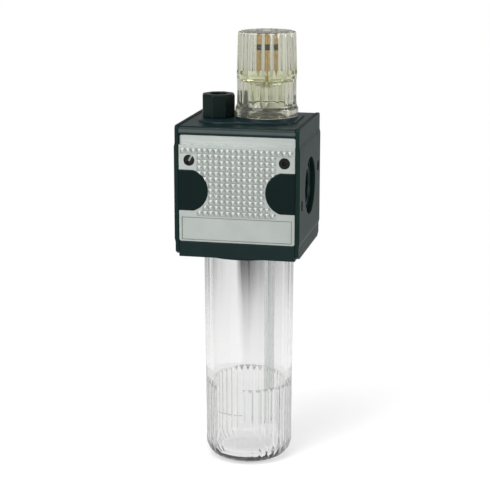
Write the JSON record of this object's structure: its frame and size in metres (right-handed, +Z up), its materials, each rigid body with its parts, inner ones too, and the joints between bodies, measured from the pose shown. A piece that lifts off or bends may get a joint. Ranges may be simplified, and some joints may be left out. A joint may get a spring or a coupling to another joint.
{
  "type": "air line lubricator",
  "caption": "Modular oil-mist lubricator: square black head with two threaded pipe ports, clear screw-in oil bowl below, clear drip dome with needle and filler plug on top.",
  "frame": {"origin": "on the surface under the middle of the bowl, below the crossing of the port axis and the bowl axis", "axes": "+Z up along the bowl axis, +X along the air flow from the inlet to the outlet, -Y towards the front plate"},
  "size_m": [0.052, 0.0492, 0.1832],
  "materials": {
    "casting": "satin black",
    "side_plate": "fine satin black",
    "front_plate": "embossed satin silver",
    "cover": "satin black",
    "screw": "blackened",
    "insert": "satin blue-black",
    "plug": "satin black",
    "seal": "black rubber",
    "brass": "turned brass",
    "nylon": "natural nylon",
    "tube": "clear tube",
    "clear_bowl": "clear polycarbonate",
    "clear_dome": "clear, faint yellow-green",
    "ball_steel": "polished steel"
  },
  "bodies": {
    "head": {"housing": "casting", "side_plate_left": "side_plate", "side_plate_right": "side_plate", "front_plate": "front_plate", "coupling_cover_left": "cover", "coupling_cover_right": "cover", "plate_screw_left": "screw", "plate_screw_right": "screw", "head_insert": "insert", "head_gasket": "seal", "venturi_insert": "brass", "ball_cage": "nylon", "siphon_seat": "nylon", "siphon_tube": "tube"},
    "bowl_ring": {"bowl_o_ring": "seal"},
    "bowl": {"bowl": "clear_bowl"},
    "dome_ring": {"dome_o_ring": "seal"},
    "dome": {"sight_dome": "clear_dome", "drip_nozzle": "clear_dome"},
    "needle_ring": {"needle_o_ring": "seal"},
    "needle": {"needle": "brass"},
    "plug_ring": {"filler_plug_o_ring": "seal"},
    "plug": {"filler_plug": "plug"},
    "ball": {"check_ball": "ball_steel"}
  },
  "joints": [
    {"name": "bowl_travel", "type": "slide", "parent": "head", "child": "bowl_ring", "axis": [0, 0, -1], "range_m": [0, 0.0125]},
    {"name": "bowl_turn", "type": "hinge", "parent": "bowl_ring", "child": "bowl", "pos_m": [0, 0, 0.1197], "axis": [0, 0, -1], "range_deg": [0, 1800]},
    {"name": "dome_travel", "type": "slide", "parent": "head", "child": "dome_ring", "axis": [0, 0, 1], "range_m": [0, 0.009]},
    {"name": "dome_turn", "type": "hinge", "parent": "dome_ring", "child": "dome", "pos_m": [0.0075, 0, 0.1197], "axis": [0, 0, 1], "range_deg": [0, 2160]},
    {"name": "needle_travel", "type": "slide", "parent": "dome", "child": "needle_ring", "axis": [0, 0, 1], "range_m": [-0.0005, 0.001]},
    {"name": "needle_turn", "type": "hinge", "parent": "needle_ring", "child": "needle", "pos_m": [0.0075, 0, 0.1197], "axis": [0, 0, 1], "range_deg": [-360, 720]},
    {"name": "plug_travel", "type": "slide", "parent": "head", "child": "plug_ring", "axis": [0, 0, 1], "range_m": [0, 0.0075]},
    {"name": "plug_turn", "type": "hinge", "parent": "plug_ring", "child": "plug", "pos_m": [-0.013, 0, 0.1197], "axis": [0, 0, 1], "range_deg": [0, 1800]},
    {"name": "check_ball_lift", "type": "slide", "parent": "head", "child": "ball", "axis": [0, 0, 1], "range_m": [0, 0.001]}
  ],
  "couplings": [
    {"joint": "bowl_turn", "follows": "bowl_travel", "rad_per_m": 2513.3},
    {"joint": "dome_turn", "follows": "dome_travel", "rad_per_m": 4188.8},
    {"joint": "needle_turn", "follows": "needle_travel", "rad_per_m": 12566},
    {"joint": "plug_turn", "follows": "plug_travel", "rad_per_m": 4188.8}
  ]
}
